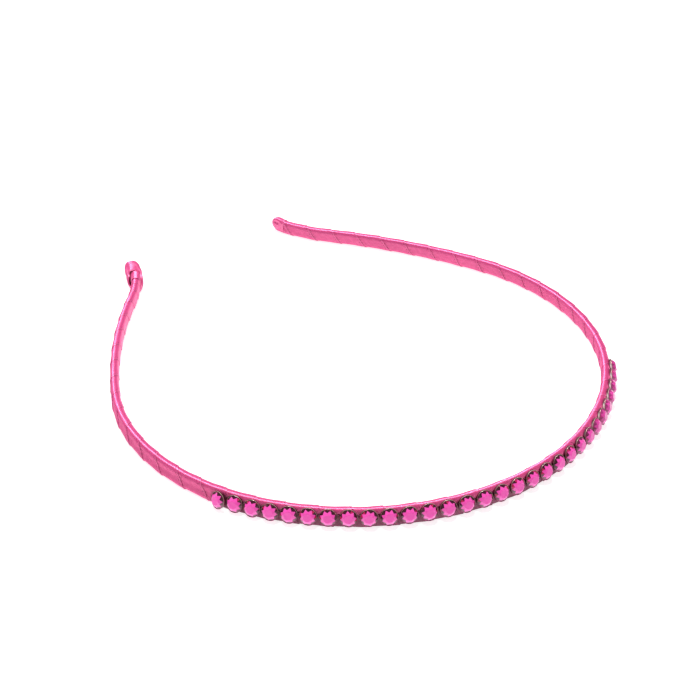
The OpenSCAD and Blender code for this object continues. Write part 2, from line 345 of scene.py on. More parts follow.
# less metal where the painted highlight and glare lie, so that they show pale
matte_where_lit = w.times(w.math("MAXIMUM", wear_and_highlight, wall_glare), 0.7)
w.feed(w.math("SUBTRACT", 1.0, matte_where_lit), shader["Metallic"])
print("cup metal:", len(cup_metal.node_tree.nodes), "nodes")

# %% [markdown]
# ## Cut stones
# A rhinestone is glass with a mirror foil behind it. Light enters by the table and the kites,
# turns round on the foil and comes back pink, while the small facets at the girdle send it
# sideways and look almost black. Modelling that with real glass needs many light bounces and
# is lost in an export, so each facet carries what it shows as painted light and shade. Its kind
# says table, kite, girdle or back, and the girdle and back facets are painted dark. Tone is a
# painted shade, darker on facets that face up and lighter on those that face down, with a random
# part. Fire paints a red flash on a few girdle facets that face up, and dim is painted light and
# shade that evens the shades out towards the right end, where the row turns away from the eye.
# The table and the kites glow a little in their own colour, painted light for what the foil
# sends back. A clear, sharp reflection lies over all.

# %% Stone material
TABLE, KITE, GIRDLE, BACK = 0.0, 1.0, 2.0, 3.0  # kinds of facet

# Each pair: the facet's darkest and its lightest tone
TABLE_TONES = (0.84, 0.060, 0.41, 1.0), (0.92, 0.105, 0.50, 1.0)
KITE_TONES = (0.83, 0.072, 0.41, 1.0), (0.92, 0.19, 0.56, 1.0)
GIRDLE_TONES = (0.045, 0.003, 0.012, 1.0), (0.30, 0.15, 0.20, 1.0)
# painted light and shade: a red flash for a few girdle facets, dimmed colours towards the right
# end
FIRE = (0.50, 0.012, 0.09, 1.0)  # a few facets at the girdle flash red
DIM_FACE, DIM_GIRDLE = (0.16, 0.006, 0.05, 1.0), (0.52, 0.045, 0.24, 1.0)
BLACK = (0.0, 0.0, 0.0, 1.0)

stone_glass, w, shader = new_material("stone_glass")
position = w.add("ShaderNodeTexCoord").outputs["Object"]
kind, tone = w.mask("facet_kind"), w.mask("facet_shade")
fire, dim = w.mask("facet_fire"), w.mask("facet_dim")
cloud = varied(w, position, size=900.0, amount=0.16)
is_kite = w.math("COMPARE", kind, KITE, 0.3)
is_girdle = w.math("GREATER_THAN", kind, 0.5 * (KITE + GIRDLE))
lit = w.blend(is_kite, w.blend(tone, *TABLE_TONES), w.blend(tone, *KITE_TONES))
lit = w.blend(dim, lit, DIM_FACE)
at_girdle = w.blend(fire, w.blend(tone, *GIRDLE_TONES), FIRE)
at_girdle = w.blend(dim, at_girdle, DIM_GIRDLE)
w.feed(w.shaded(w.blend(is_girdle, lit, at_girdle), cloud), shader["Base Color"])
# painted light: the table and kites glow a little in their own colour, for what the foil sends
# back
w.feed(w.blend(is_girdle, lit, BLACK), shader["Emission Color"])
w.feed(w.times(cloud, 0.06), shader["Roughness"])
w.feed_all({"Emission Strength": 0.11, "Specular Tint": (1.0, 0.72, 0.85, 1.0), "IOR": 1.6},
           shader)
print("stone glass:", len(stone_glass.node_tree.nodes), "nodes")

# %% [markdown]
# ## The outline
# Seen from above, each half of the band is four arcs that run on smoothly: crown, temple, arm,
# and a tip that flares outwards, as in the CAD part. A place on the band is given as
# (s, out, z): s along the band from the crown's middle, out from the middle of its thickness
# away from the head, z up from the table.

# %% Outline
ARCS = ((68.0, 48.5), (61.5, 66.0), (156.0, 17.7), (-45.0, 25.7))  # radius, turn in degrees
BAND_T, BAND_H = 2.4, 4.38
CUP_RIM_OUT = 1.98  # where a cup's rim stands; the middle cup's rim is the chain's front

crown_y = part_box("cup_chain")[0].y / MM + CUP_RIM_OUT
half_length = sum(abs(radius) * math.radians(turn) for radius, turn in ARCS)
print("crown's middle at y =", round(crown_y, 3), "half length", round(half_length, 2))


def spine(s):
    """x, y and heading of the middle of the band's thickness. s is an array."""
    run = np.abs(s)
    x, y, heading = np.zeros_like(run), np.zeros_like(run), np.zeros_like(run)
    begin, start_x, start_y, start_h = 0.0, 0.0, crown_y, 0.0
    for radius, turn in ARCS:
        here = run >= begin
        h = start_h + (run - begin) / radius
        x = np.where(here, start_x + radius * (np.sin(h) - math.sin(start_h)), x)
        y = np.where(here, start_y - radius * (np.cos(h) - math.cos(start_h)), y)
        heading = np.where(here, h, heading)
        end_h = start_h + math.copysign(math.radians(turn), radius)
        start_x += radius * (math.sin(end_h) - math.sin(start_h))
        start_y -= radius * (math.cos(end_h) - math.cos(start_h))
        begin, start_h = begin + abs(radius) * math.radians(turn), end_h
    side = np.where(s < 0, -1.0, 1.0)
    return x * side, y, heading * side


def on_band(s, out, z):
    """Points, in millimetres, for arrays of s, out and z."""
    s, out, z = np.broadcast_arrays(np.asarray(s, float), out, z)
    x, y, heading = spine(s)
    return np.stack([x + out * np.sin(heading), y - out * np.cos(heading), z], axis=-1)


def ease(value, start, end):
    """0 before start, 1 after end, smooth between."""
    t = np.clip((value - start) / (end - start), 0.0, 1.0)
    return t * t * (3.0 - 2.0 * t)


def between(value, rise, fall):
    """1 between two eased edges, each given as where it starts and where it ends."""
    return ease(value, *rise) * (1 - ease(value, *fall))


def bell(value, middle, width):
    return np.exp(-(((value - middle) / width) ** 2))


def table_at(value, rows):
    """Reads a table of (place, value) rows, straight between them."""
    places, values = zip(*rows)
    return np.interp(value, places, values)


# %% [markdown]
# ## From points to a piece
# Every piece is made the same way: points in millimetres, faces as lists of point numbers, and
# for ribbon a UV pair for each face corner. The normals are made to face out, and the piece
# rides on the headband's one body.

# %% Piece helper
def make_piece(name, points, faces, material, corner_uv=None, smooth=True):
    mesh = bpy.data.meshes.new(name)
    mesh.from_pydata((np.asarray(points) * MM).tolist(), [], faces)
    if corner_uv is not None:
        layer = mesh.uv_layers.new(name="ribbon")
        layer.data.foreach_set("uv", np.asarray(corner_uv, dtype=np.float32).ravel())
    mesh.polygons.foreach_set("use_smooth", [smooth] * len(mesh.polygons))
    mesh.materials.append(material)
    piece = add_object(name, mesh)
    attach(piece, "root")
    return piece


def edit_mesh(piece, change=None):
    """Opens a piece's mesh for one change, if there is one, and turns its normals outwards."""
    bm = bmesh.new()
    bm.from_mesh(piece.data)
    if change:
        change(bm)
    bmesh.ops.recalc_face_normals(bm, faces=bm.faces)
    bm.to_mesh(piece.data)
    bm.free()


def paint(piece, masks, domain="POINT"):
    """Gives a mesh one number for each point or face under each name."""
    for label, values in masks.items():
        piece.data.attributes.new(label, "FLOAT", domain).data.foreach_set("value", values)


def ring_faces(rings, around):
    """Faces between closed rings of points that follow each other."""
    return [(r * around + a, r * around + (a + 1) % around,
             (r + 1) * around + (a + 1) % around, (r + 1) * around + a)
            for r in range(rings - 1) for a in range(around)]


def fan_faces(middle, ring, around):
    """Faces from one point to a closed ring of points."""
    return [(middle, ring * around + a, ring * around + (a + 1) % around) for a in range(around)]


def report(piece):
    mesh = piece.data
    triangles = sum(len(face.vertices) - 2 for face in mesh.polygons)
    print(f"{piece.name}: {len(mesh.vertices)} points, {triangles} triangles")


# %% [markdown]
# ## The wound ribbon
# One ribbon winds round the strip like the stripe on a barber's pole, 7.8 mm further along at
# each turn. Each turn lies on its neighbour, so every seam is a real step: a rounded, slightly
# raised edge, a drop, and a fine groove at its foot.
#
# The mesh follows the ribbon. Rows go round the section, 50 to a turn, and each crosses the
# ribbon from edge to edge, with points crowded at the edges. Where a row ends, the row one turn
# later begins, so the whole winding is one closed skin.
# On both arms the turn nearer the tip lies on top, so the overlap changes side at the crown.
# Under the stones the ribbon's face is darker, a painted shade from the cups over it. There the
# face leans back a little so that the stones look up, and its foot is pressed square on the table.

# %% Section of the band
EDGE_R = 1.13  # radius of the corners


def section_shares():
    """Shares of the way round at which points are set, closest together at the corners."""
    flat, side, corner = BAND_T / 2 - EDGE_R, BAND_H - 2 * EDGE_R, EDGE_R * math.pi / 2
    # How many points, and on which length, from the top's middle outwards and down
    half = [(1, flat), (9, corner), (5, side), (9, corner)]
    shares, begin = [], 0.0
    for count, length in half + [(2, 2 * flat)] + half[::-1]:
        shares += [begin + length * k / count for k in range(count)]
        begin += length
    return np.array(shares) / begin, begin


def on_section(share, thick, low, high, radius):
    """out, z and outward direction at a share of the way round, for arrays of sizes."""
    flat, side = thick / 2 - radius, high - low - 2 * radius
    corner = radius * (math.pi / 2)
    half_way = 2 * flat + side + 2 * corner
    d = share * 2 * half_way
    mirror = d > half_way
    d = np.where(mirror, 2 * half_way - d, d)
    upper = np.clip((d - flat) / corner, 0.0, 1.0) * (math.pi / 2)
    lower = np.clip((d - flat - corner - side) / corner, 0.0, 1.0) * (math.pi / 2)
    angle = upper + lower
    down = np.clip(d - flat - corner, 0.0, side)
    back = np.clip(d - flat - 2 * corner - side, 0.0, flat)
    out = np.clip(d, 0.0, flat) + radius * np.sin(angle) - back
    z = high - radius - down + radius * np.cos(angle)
    turn = np.where(mirror, -1.0, 1.0)
    return out * turn, z, np.sin(angle) * turn, np.cos(angle)


ring_shares, ring_length = section_shares()
AROUND = len(ring_shares)
print("section:", AROUND, "points round", round(ring_length, 2), "mm")

# %% [markdown]
# The seams were counted on the photograph: 46 turns between the first seam past the hood and
# the last one before the right cap. Near the hood the turns are closer, as where the winding
# was finished off. The relief tells how high the ribbon stands at a distance from the edge that
# lies on top: ridge, groove of the stitch dots, then down on to the turn below.

# %% Seams and relief
FIRST_SEAM = -173.31
END_SEAMS = {-5: -192.6, -4: -190.8, -3: -187.3, -2: -183.3, -1: -178.7, 48: 193.6, 49: 194.5}
START_TURN, END_TURN = -5.0, 47.05
CHANGE_TURN = 21.9  # where the overlap changes side, under the stones
TIPPED = math.radians(16.0)  # under the row the outer face looks up a little
TIP_FROM = 2.5  # the height below which the face stands out

seam_numbers = np.arange(-5, 50)
seam_places = np.array([END_SEAMS.get(int(k), FIRST_SEAM + TURN * k) for k in seam_numbers])

GLUED = ((-78.0, -75.0), (62.0, 65.0))  # where the row's part of the band begins and ends
FRONT = ((-150.0, -105.0), (60.0, 110.0))  # the part that stands a little higher
TIPPING = ((-150, 0), (-112, 0.7), (-84, 0.75), (-72, 1), (58, 1), (72, 0.6), (104, 0))

# Points across a ribbon: these distances from each edge, and three more in the middle
EDGE_OFFSETS = [0.0, 0.045, 0.12, 0.26, 0.40, 0.54, 0.68, 0.82, 1.1, 1.7, 2.5]
cross_points = EDGE_OFFSETS + [3.3, TURN / 2, TURN - 3.3] + [TURN - d for d in EDGE_OFFSETS[:0:-1]]
cross_shares = np.array(cross_points) / TURN
ACROSS = len(cross_shares)

RELIEF = (  # distance from the edge that lies on top, height over the plain section
    (0.0, -0.15), (0.045, 0.00), (0.12, 0.045), (0.26, 0.06), (0.40, 0.05), (0.54, 0.02),
    (0.68, -0.01), (0.82, -0.005), (1.1, 0.0), (2.0, -0.01), (3.0, -0.07), (3.9, -0.115),
    (7.2, -0.125), (7.62, -0.13), (TURN, -0.15))


def relief(distance, amount):
    """Height of the ribbon over the plain section, in mm; amount scales what lies above it."""
    height = table_at(distance, RELIEF)
    return np.where(height > 0.0, height * amount, height)


def wander(reach):
    """No winder keeps a perfect pitch: the seams drift a little, slower than a turn."""
    return 0.16 * np.sin(reach * 2.3 + 0.7) + 0.10 * np.sin(reach * 5.1 + 2.0)


# %% Winding mesh
def winding():
    rows = np.arange(math.ceil(START_TURN * AROUND), math.floor(END_TURN * AROUND) + 1)
    share = ring_shares[rows % AROUND]
    reach = rows // AROUND + share  # turns wound so far, where this row starts
    column = cross_shares[None, :]
    along_turns = reach[:, None] + column
    s = np.interp(along_turns, seam_numbers, seam_places)
    s = s + wander(reach)[:, None] * (1 - column) + wander(reach + 1)[:, None] * column

    begins, ends = (np.interp(reach + k, seam_numbers, seam_places) for k in (0, 1))
    squeeze = np.minimum((ends - begins) / TURN, 1.0)[:, None]
    # Distance from the edge that lies on top, on the right arm and on the left one
    right_v, left_v = column * TURN * squeeze, (1 - column) * TURN * squeeze
    right = ease(reach, CHANGE_TURN - 0.5, CHANGE_TURN + 0.5)[:, None]
    under_stones = between(s, *GLUED)
    amount = 1.0 - 0.6 * under_stones
    height = relief(left_v, amount) * (1 - right) + relief(right_v, amount) * right
    height = height + 0.015 * np.sin(reach * 7.3)[:, None] * np.sin(column * math.pi)
    near_cap = ease(s, 190.6, 191.5)  # there the ribbon is pulled flat
    height = np.where(height > 0, height * (1 - near_cap), height)

    # Inside the hood and the cap the band is slimmer and its lower edge is raised
    in_hood = 1 - ease(s, -187.5, -184.5)
    in_cap = ease(s, 191.7, 192.2)
    inside = np.maximum(in_hood, in_cap)
    thick = BAND_T - 0.16 * in_hood - 0.40 * in_cap
    low = 0.47 * in_hood + 0.17 * in_cap
    high = BAND_H + 0.22 * between(s, *FRONT) - 0.08 * ease(s, 120.0, 160.0)
    high = high - 0.16 * in_hood - 0.12 * in_cap
    radius = EDGE_R - 0.05 * inside - 0.16 * in_cap
    ring_out, ring_z, dir_out, dir_z = on_section(
        np.broadcast_to(share[:, None], s.shape), thick, low, high, radius)
    # Towards the lower outer corner of a section that is pressed nearly square
    square = 1 / (np.abs(dir_out) ** 8 + np.abs(dir_z) ** 8) ** (1 / 8) - 1
    pressed = EDGE_R * square * ((dir_out > 0) & (dir_z < 0)) * under_stones
    out = ring_out + dir_out * (height + pressed)
    z = np.maximum(ring_z + dir_z * (height + pressed), 0.0)
    tipped = table_at(s, TIPPING) * ease(out, 0.0, 0.9)
    out = out + math.tan(TIPPED) * np.maximum(TIP_FROM - z, 0.0) * tipped
    points = on_band(s, out, z).reshape(-1, 3)
    plain_seam = 0.75 * between(s, (0.0, 18.0), (64.0, 80.0))
    # painted shade on the outer face along the row, below its upper part
    glue = between(s, (-76.6, -75.6), (62.6, 63.6)) * ease(out, 0.2, 0.6)
    glue = glue * (1 - ease(z, 3.0, 3.7))

    # A row's last face reaches to the first point of the row one turn later
    v = np.where(right > 0.5, right_v, left_v)
    end_v = np.where(right > 0.5, TURN, 0.0) * squeeze
    u, v = reach * ring_length, np.concatenate([v, end_v], axis=1)
    faces, uvs = [], []
    for row in range(len(rows) - 1):
        joined = row + 1 + AROUND < len(rows)
        for k in range(ACROSS if joined else ACROSS - 1):
            corners = ((row, k), (row, k + 1), (row + 1, k + 1), (row + 1, k))
            faces.append([r * ACROSS + c if c < ACROSS else (r + AROUND) * ACROSS
                          for r, c in corners])
            uvs += [(u[r], v[r, c]) for r, c in corners]
    return points, faces, uvs, {"plain_seam": plain_seam.ravel(), "glue": glue.ravel()}


points, faces, uvs, masks = winding()
ribbon_winding = make_piece("ribbon_winding", points, faces, wound_satin, uvs)
paint(ribbon_winding, masks)


def close_ends(bm):
    """Fills the two ends, which lie hidden in the hood and the cap."""
    rim = [edge for edge in bm.edges if edge.is_boundary]
    filled = bmesh.ops.holes_fill(bm, edges=rim, sides=0)
    bmesh.ops.poke(bm, faces=filled["faces"])


edit_mesh(ribbon_winding, close_ends)
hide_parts("wrapped_band")
report(ribbon_winding)

# %% [markdown]
# ## Folds over the tips
# A doubled piece of ribbon covers each tip. On the left it stands loose, like a hood with a
# slanted mouth, and on the right it hugs the band. Both are thick-walled shells: a grid runs
# from the nose along the outside to the mouth, turns round the rim and comes back inside.
# Folds and creases are pushed into the grid with soft bell curves, which are easy to steer and
# come out the same every time.

# %% Tip shell builder
GIRTH = 13.0  # about the length round a shell, for the threads
AROUND_SHELL, RIM_STEPS = 80, 6
NOSE_CROWDING, POCKET_CROWDING = 1.6, 0.9  # rings lie closer at the nose and deep inside
ANGLE = np.arange(AROUND_SHELL) * (2 * math.pi / AROUND_SHELL)  # from the top outwards
DOWN = (1 - np.cos(ANGLE)) / 2  # 0 at the top, 1 at the bottom


def tip_shell(side, mouth, shape, wall, pocket_end, nose_at=0.0, outer_rings=30, inner_rings=16):
    """Points, faces and UVs of a shell over one tip. Lengths are counted from the tip: the
    shell goes from nose_at to mouth, which is given for each angle, and its hollow ends at
    pocket_end. shape(d) gives out, z and the outward direction at each angle."""
    wall = wall * np.ones(AROUND_SHELL)
    rings = []  # distance from the tip and depth under the outer face, for each angle
    for k in range(1, outer_rings + 1):
        rings.append((nose_at + (mouth - nose_at) * (k / outer_rings) ** NOSE_CROWDING, 0 * wall))
    for k in range(1, RIM_STEPS):
        turned = math.pi * k / RIM_STEPS
        rings.append((mouth + wall / 2 * math.sin(turned), wall / 2 * (1 - math.cos(turned))))
    for k in range(inner_rings + 1):
        rings.append((mouth + (pocket_end - mouth) * (k / inner_rings) ** POCKET_CROWDING, wall))
    points, count = [], len(rings)
    for d, depth in rings:
        out, z, dir_out, dir_z = shape(d)
        out, z = out - dir_out * depth, z - dir_z * depth
        points.append(on_band(side * (half_length - d), out, np.maximum(z, 0.0)))
    poles = [points[0].mean(axis=0)[None], points[-1].mean(axis=0)[None]]
    grid = np.concatenate(points + poles)
    faces = ring_faces(count, AROUND_SHELL)
    for pole, ring in enumerate((0, count - 1)):
        faces += fan_faces(count * AROUND_SHELL + pole, ring, AROUND_SHELL)

    steps = np.abs(np.diff(np.array(rings), axis=0)).sum(axis=1).mean(axis=1)
    path = np.concatenate([[0.0], np.cumsum(steps)])
    v = np.abs(path - path[outer_rings - 1 + RIM_STEPS // 2])  # 0 at the middle of the rim
    u = [GIRTH * a / AROUND_SHELL for a in range(AROUND_SHELL + 1)]
    uvs = [(u[a + i], v[r + j]) for r in range(count - 1) for a in range(AROUND_SHELL)
           for i, j in ((0, 0), (1, 0), (1, 1), (0, 1))]
    for ring in (0, count - 1):
        for a in range(AROUND_SHELL):
            uvs += [((u[a] + u[a + 1]) / 2, v[ring] + 0.3), (u[a], v[ring]), (u[a + 1], v[ring])]
    return grid, faces, uvs


def make_fold(name, *shell, **sizes):
    points, faces, uvs = tip_shell(*shell, **sizes)
    piece = make_piece(name, points, faces, folded_satin, uvs)
    edit_mesh(piece)
    report(piece)
    return piece


# %% Shapes for the shells
def rounded(half_out, half_z, squareness):
    """A closed curve between an ellipse (squareness 1) and a rectangle (0), with directions."""
    sin, cos = np.sin(ANGLE), np.cos(ANGLE)
    out = half_out * np.sign(sin) * np.abs(sin) ** squareness
    z = half_z * np.sign(cos) * np.abs(cos) ** squareness
    power = 2.0 / squareness - 1.0
    dir_out = np.sign(sin) * np.abs(out / half_out) ** power / half_out
    dir_z = np.sign(cos) * np.abs(z / half_z) ** power / half_z
    size = np.hypot(dir_out, dir_z)
    return out, z, dir_out / size, dir_z / size


def round_nose(d, length, fullness, corner, least):
    """Grows from nearly 0 at the nose to 1 at this length, as a blunt end does."""
    growth = np.clip(d / length, 0.0, 1.0)
    return np.maximum(1 - (1 - growth) ** fullness, least) ** (1 / corner)


def fold_at(middle, width):
    """1 in one direction round a shell and less beside it, both in degrees."""
    return bell((np.degrees(ANGLE) - middle + 180.0) % 360.0 - 180.0, 0, width)


# %% [markdown]
# The hood is fatter than the band and sits a little outwards. A broad ridge runs down its top,
# with a darker fold on the outer side of it, and small creases lie where the cloth is pulled
# towards the inner side of the mouth. Under its rim the end of an inner fold shows, a short
# sleeve that fits the band more and more closely.

# %% Left hood
HOOD_PROUD = 0.35  # how far the loose fold stands out past the tip
HOOD_HALF_Z, HOOD_MIDDLE_Z, HOOD_SQUARENESS = 2.36, 2.40, 0.70
# Distance from the tip and half width there, outwards and towards the head
HOOD_OUTER = ((0.0, 2.70), (6.3, 2.72), (9.0, 2.46), (12.4, 1.70))
HOOD_INNER = ((0.0, 1.75), (2.0, 1.95), (6.0, 2.05), (9.6, 2.20), (12.4, 1.62))
# How the nose grows in width and height: length, fullness, corner, least
NOSE_WIDENS, NOSE_RISES = (2.6, 2.4, 2.2, 0.001), (1.4, 2.6, 2.4, 0.001)
# Depth (minus is a dent), middle and width in degrees, and where from the tip it fades in
HOOD_FOLDS = {"outer fold": (-0.24, 44, 16, 1.2, 3.5), "ridge": (0.14, 10, 18, 0.6, 2.0),
              "low fold": (-0.15, 118, 16, 2.0, 5.0)}
# Depth, middle at 6 mm, turn in degrees for each mm, width, middle and length along the hood
HOOD_CREASES = ((-0.09, -52, -4, 11, 5.6, 1.6), (-0.12, -30, -9, 7, 5.0, 1.0))


def hood_shape(d):
    outer, inner = table_at(d, HOOD_OUTER), table_at(d, HOOD_INNER)
    half_out = (outer + inner) / 2 * round_nose(d + HOOD_PROUD, *NOSE_WIDENS)
    half_z = HOOD_HALF_Z * round_nose(d + HOOD_PROUD, *NOSE_RISES)
    out, z, dir_out, dir_z = rounded(half_out, half_z, HOOD_SQUARENESS)
    out = out + (outer - inner) / 2
    soft = 0.05 * np.sin(3 * ANGLE + 0.9 * d + 0.6) + 0.03 * np.sin(5 * ANGLE - 1.3 * d + 2.0)
    push = soft * ease(d, 1.0, 3.0)
    for depth, middle, width, start, end in HOOD_FOLDS.values():
        push = push + depth * fold_at(middle, width) * ease(d, start, end)
    for depth, middle, turn, width, at, length in HOOD_CREASES:
        push = push + depth * fold_at(middle + turn * (d - 6), width) * bell(d, at, length)
    return out + dir_out * push, HOOD_MIDDLE_Z + z + dir_z * push, dir_out, dir_z


hood_mouth = 6.5 + 5.7 * DOWN ** 1.15 + 0.25 * np.sin(2 * ANGLE)
# Two layers of ribbon, a little thicker where the folds meet on both sides
hood_wall = 0.30 + 0.26 * fold_at(72, 36) + 0.40 * fold_at(-95, 44)
hood = make_fold("left_hood_fold", -1, hood_mouth, hood_shape, hood_wall, pocket_end=3.6,
                 nose_at=-HOOD_PROUD)
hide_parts("left_tip_hood")

# %% Inner fold
# Distance from the tip, and there: half width, half height, height of the middle
SLEEVE = ((5.0, 1.60, 2.10, 2.42), (8.0, 1.48, 2.12, 2.36), (11.0, 1.31, 2.17, 2.25))
SLEEVE_SQUARENESS, SLEEVE_WALL = 0.72, 0.10


def sleeve_shape(d):
    places, *columns = zip(*SLEEVE)
    half_out, half_z, middle = (np.interp(d, places, column) for column in columns)
    out, z, dir_out, dir_z = rounded(half_out, half_z, SLEEVE_SQUARENESS)
    crease = 0.03 * np.sin(4 * ANGLE + 1.2 * d) * (1 - ease(d, 8.0, 10.5))
    return out + dir_out * crease, middle + z + dir_z * crease, dir_out, dir_z


make_fold("left_hood_inner_fold", -1, 10.5 + 0.9 * DOWN, sleeve_shape, SLEEVE_WALL,
          pocket_end=3.95, nose_at=3.75, outer_rings=14, inner_rings=8)

# %% [markdown]
# The right cap is pulled tight. Its nose is blunt, a shallow dimple runs along its inner face,
# and its thin edge lies nearly flush on the band. The band is slimmer inside it.

# %% Right cap
# Half width, half height and height of the middle: at the nose, and how much less at the mouth
CAP_SIZE, CAP_LOSS = (1.46, 2.29, 2.34), (0.20, 0.12, 0.17)
CAP_NOSE = (3.0, 2.2, 2.0, 0.02)  # how it grows, as in the hood
CAP_SQUARENESS, CAP_WALL = 0.76, 0.07


def cap_shape(d):
    near_mouth = ease(d, 2.2, 4.8)
    half_out, half_z, middle = (a - b * near_mouth for a, b in zip(CAP_SIZE, CAP_LOSS))
    nose = round_nose(d, *CAP_NOSE)
    out, z, dir_out, dir_z = rounded(half_out * nose, half_z * nose, CAP_SQUARENESS)
    dimple = -0.40 * fold_at(-66, 17) * between(d, (0.8, 1.8), (2.9, 3.7))
    lower = -0.26 * fold_at(-138, 26) * (1 - near_mouth)
    outer_dimple = -0.16 * fold_at(75, 24) * bell(d, 2.6, 1.3)
    soft = 0.025 * np.sin(3 * ANGLE + 1.4 * d) + 0.015 * np.sin(5 * ANGLE - 1.9 * d)
    push = dimple + lower + outer_dimple + soft * ease(d, 0.8, 2.0) * (1 - near_mouth)
    return out + dir_out * push, middle + z + dir_z * push, dir_out, dir_z


cap = make_fold("right_cap_fold", 1, 5.0 + 0.22 * np.sin(ANGLE + 0.6), cap_shape, CAP_WALL,
                pocket_end=3.2, outer_rings=26, inner_rings=8)
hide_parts("right_tip_cap")

# %% [markdown]
# ## The cup chain
# Cups are stamped from sheet in a strip, and the strip left between them becomes the link.
# A cup is a short profile turned about the stone's axis: flat back, rounded foot, flared wall
# and a rim rolled over by the press. Pressing the stone in bends each rim a little, so its
# height and roundness vary from cup to cup. The row looks up from the table by sixteen degrees:
# in the photograph the stones look nearly round from above.

# %% Places in the row
STONES, PITCH, ROW_MIDDLE, ROW_Z = 30, 4.7, -7.05, 2.68
CROWDED, CROWDING, CROWD_FADE = 6, 1.19, 1.5  # the first six were pushed together
UP = np.array([0.0, 0.0, 1.0])
CUP_OUT, STONE_OUT, CUP_R = 1.30, 1.45, 2.15  # where the backs stand, and a cup's radius
FIRST_TURN = -15.0  # the first cup is glued askew
FIRST_SHIFT = 0.4  # close up against the second
SAG = 0.45  # and the first few sit a little lower
STONE_SPIN, SPIN_STEP = 20.0, 137.0  # each stone is turned differently, by up to this much
print("row:", STONES, "stones,", (STONES - 1) * PITCH - CROWDING, "mm long")


def stone_place(number):
    """s, lift off the band, turn in degrees and sag of one cup and its stone, counted from 1."""
    pushed = CROWDING * (max(0, CROWDED + 1 - number) / CROWDED) ** CROWD_FADE
    s = (number - 1 - (STONES - 1) / 2) * PITCH + ROW_MIDDLE + pushed
    turned = 0.0
    if number == 1:
        s, turned = s + FIRST_SHIFT, FIRST_TURN
    sag = SAG * (1 - ease(number, 2.0, 8.0))
    return s, CUP_R * math.sin(math.radians(abs(turned))), turned, sag


def standing(points, s, out, turned=0.0, sag=0.0):
    """Sets points (right, up, outwards) on the band's outer face at s."""
    x, y, heading = (float(v[0]) for v in spine(np.array([s])))
    origin = np.array([x + out * math.sin(heading), y - out * math.cos(heading), ROW_Z - sag])
    h = heading + math.radians(turned)
    right = np.array([math.cos(h), math.sin(h), 0.0])
    level = np.array([math.sin(h), -math.cos(h), 0.0])
    outwards = math.cos(TIPPED) * level + math.sin(TIPPED) * UP
    up = math.cos(TIPPED) * UP - math.sin(TIPPED) * level
    points = np.asarray(points, float)
    return origin + points[:, :1] * right + points[:, 1:2] * up + points[:, 2:] * outwards


# %% Cups and links
CUP_PROFILE = [  # radius and height, from the back's middle round the rim to the floor inside
    (1.10, 0.00), (1.95, 0.00), (2.06, 0.02), (2.115, 0.08), (2.135, 0.20), (2.15, 0.40),
    (2.175, 0.55), (2.192, 0.645), (2.190, 0.69), (2.160, 0.725), (2.128, 0.715), (2.114, 0.685),
    (2.11, 0.60), (2.085, 0.46), (2.045, 0.28), (2.01, 0.17), (1.92, 0.13), (1.00, 0.12)]
WALL_FROM, CREST_FROM, CREST_TO = 4, 7, 11  # the profile's points on the wall and the rim's crest
CUP_FLOOR = 0.12
# Each spot: middle and width, in degrees round from the right, and how sharply it ends
# spots of painted highlight, painted glare and painted pink reflection, and where the lip is
# pressed out
CREST_HIGHLIGHT_SPOT, GLARE_SPOT, REFLECTION_SPOT, LIP_SPOT = (72, 75, 2), (150, 24, 4), (-90, 48, 4), (-90, 38, 4)
CUP_AROUND = 40
LIP = 0.05  # the lowest part of a rim is pressed out a little
LINK_ARCH, LINK_WAIST = 0.05, 0.14
chance = random.Random(11)


def spot_at(k, middle, width, power):
    """1 in one direction round a cup and less beside it, both in degrees."""
    off = (360 * k / CUP_AROUND - middle + 180) % 360 - 180
    return math.exp(-((off / width) ** power))


def cup_mesh(glare):
    """One cup: points, faces and its three masks. Each call gives a slightly different rim."""
    squash = chance.uniform(0.0, 0.010)
    phase = chance.uniform(0, 2 * math.pi)
    tilt = chance.uniform(-0.03, 0.03)
    points = []
    for r, z in CUP_PROFILE:
        at_rim = max(0.0, (z - 0.4) / 0.4)
        for k in range(CUP_AROUND):
            a = 2 * math.pi * k / CUP_AROUND
            wave = 1 - squash * at_rim * (1 - math.cos(2 * a + phase))
            height = z + tilt * at_rim * math.cos(a + phase)
            lip = 1 + LIP * spot_at(k, *LIP_SPOT) * (z > 0.5)
            points.append((r * wave * lip * math.cos(a), r * wave * lip * math.sin(a), height))
    rings = len(CUP_PROFILE)
    faces = ring_faces(rings, CUP_AROUND)
    for ring, depth in ((0, 0.0), (rings - 1, CUP_FLOOR)):
        faces += fan_faces(len(points), ring, CUP_AROUND)
        points.append((0.0, 0.0, depth))
    crest, pink_reflection, wall = [], [], []
    for ring in range(rings):
        on_crest, on_wall = CREST_FROM <= ring <= CREST_TO, WALL_FROM <= ring < CREST_FROM
        for k in range(CUP_AROUND):
            # painted highlight on the upper right of the crest
            crest.append((0.12 + 0.88 * spot_at(k, *CREST_HIGHLIGHT_SPOT)) * on_crest)
            # painted glare on the wall
            wall.append(glare * spot_at(k, *GLARE_SPOT) * on_wall)
            # painted pink reflection at the bottom of the rim
            pink_reflection.append(spot_at(k, *REFLECTION_SPOT) * (on_crest or on_wall))
    masks = [values + [0.0, 0.0] for values in (crest, pink_reflection, wall)]
    return points, faces, masks


